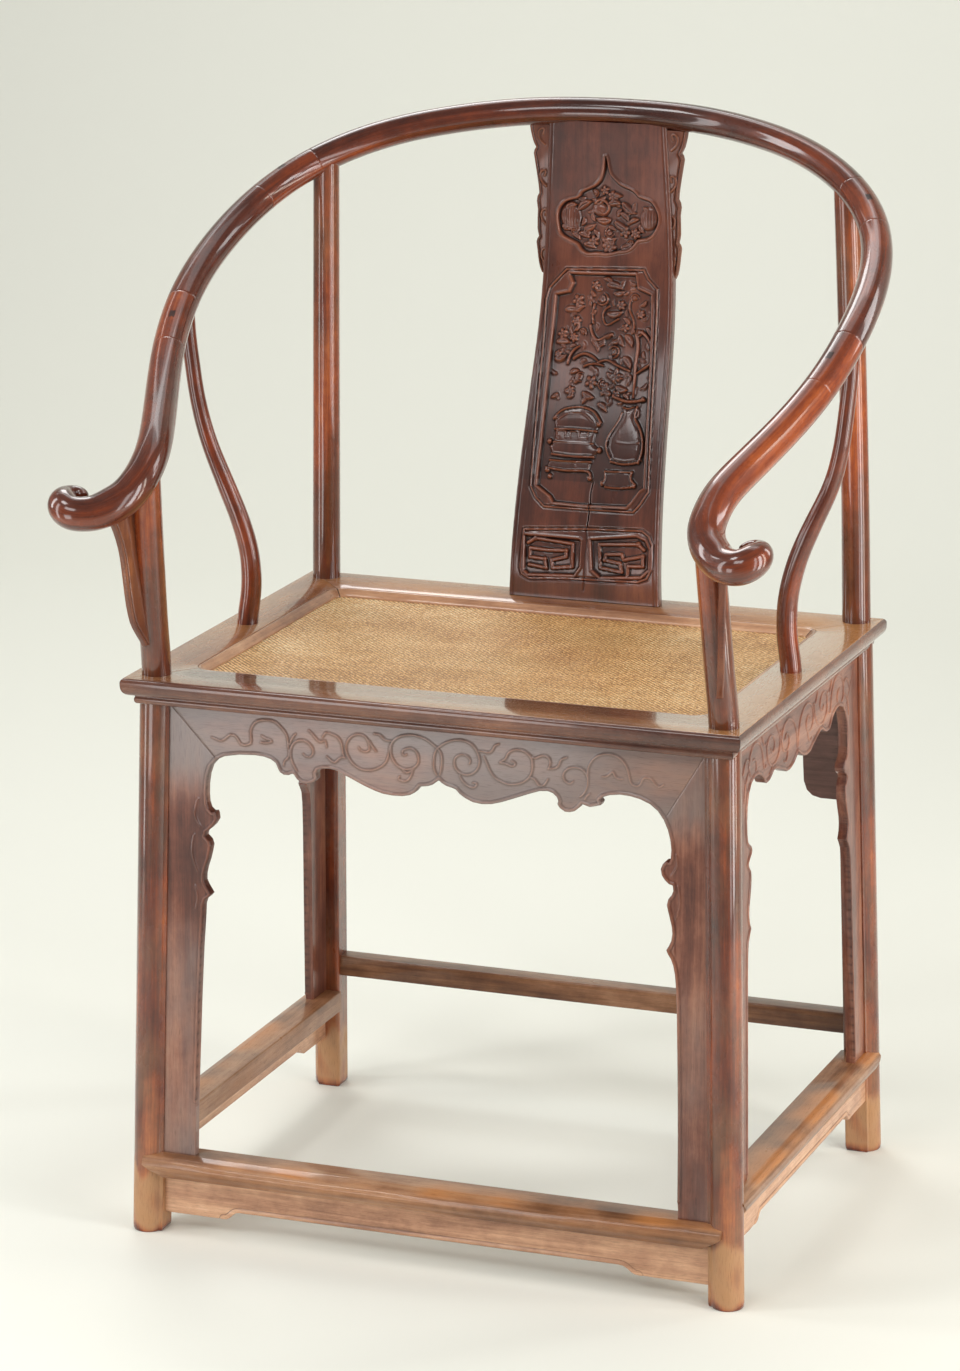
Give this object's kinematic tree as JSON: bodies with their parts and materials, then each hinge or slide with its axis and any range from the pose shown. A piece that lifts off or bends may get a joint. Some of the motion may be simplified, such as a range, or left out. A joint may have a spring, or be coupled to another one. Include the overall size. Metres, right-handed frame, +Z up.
{
  "type": "horseshoe back armchair",
  "caption": "Hardwood armchair with a continuous curved crest rail ending in scrolled arms, a carved S-shaped splat, a woven cane seat, carved aprons and a footrest.",
  "frame": {"origin": "middle of the overall box on the floor, under the seat", "axes": "+Z up; the sitter faces -Y; +X is to the right of someone looking at the front of the chair"},
  "size_m": [0.6778, 0.601, 0.9991],
  "materials": {
    "leg_wood": "waxed and polished",
    "rail_wood": "waxed and polished",
    "pin_wood": "waxed, flush with the rail",
    "post_wood": "waxed and polished",
    "spandrel_wood": "waxed, carved",
    "splat_wood": "waxed, carved in relief",
    "seat_wood": "polished, worn by use",
    "bead_wood": "waxed, worn pale",
    "cane": "woven split cane, matt",
    "palm_fibre": "coarse woven palm fibre",
    "brace_wood": "plain, unpolished",
    "apron_wood": "waxed, carved in relief",
    "back_apron_wood": "waxed",
    "stretcher_wood": "waxed, worn by feet",
    "stretcher_apron_wood": "waxed"
  },
  "bodies": {
    "root": {"front_leg_left": "leg_wood", "front_leg_right": "leg_wood", "rear_leg_left": "leg_wood", "rear_leg_right": "leg_wood", "crest_rail_back": "rail_wood", "crest_rail_shoulder_left": "rail_wood", "crest_rail_shoulder_right": "rail_wood", "crest_rail_arm_left": "rail_wood", "crest_rail_arm_right": "rail_wood", "scarf_wedge_pins": "pin_wood", "side_post_left": "post_wood", "side_post_right": "post_wood", "post_spandrel_left": "spandrel_wood", "post_spandrel_right": "spandrel_wood", "splat_flange_left": "spandrel_wood", "splat_flange_right": "spandrel_wood", "back_splat": "splat_wood", "seat_rail_front": "seat_wood", "seat_rail_back": "seat_wood", "seat_rail_left": "seat_wood", "seat_rail_right": "seat_wood", "cane_bead_front": "bead_wood", "cane_bead_back": "bead_wood", "cane_bead_left": "bead_wood", "cane_bead_right": "bead_wood", "cane_seat": "cane", "seat_webbing": "palm_fibre", "seat_brace_left": "brace_wood", "seat_brace_right": "brace_wood", "front_apron": "apron_wood", "front_apron_strip_left": "apron_wood", "front_apron_strip_right": "apron_wood", "side_apron_left": "apron_wood", "side_apron_strip_left_front": "apron_wood", "side_apron_strip_left_back": "apron_wood", "side_apron_right": "apron_wood", "side_apron_strip_right_front": "apron_wood", "side_apron_strip_right_back": "apron_wood", "back_apron": "back_apron_wood", "foot_rest": "stretcher_wood", "side_stretcher_left": "stretcher_wood", "side_stretcher_right": "stretcher_wood", "back_stretcher": "stretcher_wood", "footrest_apron": "stretcher_apron_wood", "side_stretcher_apron_left": "stretcher_apron_wood", "side_stretcher_apron_right": "stretcher_apron_wood"}
  },
  "joints": []
}
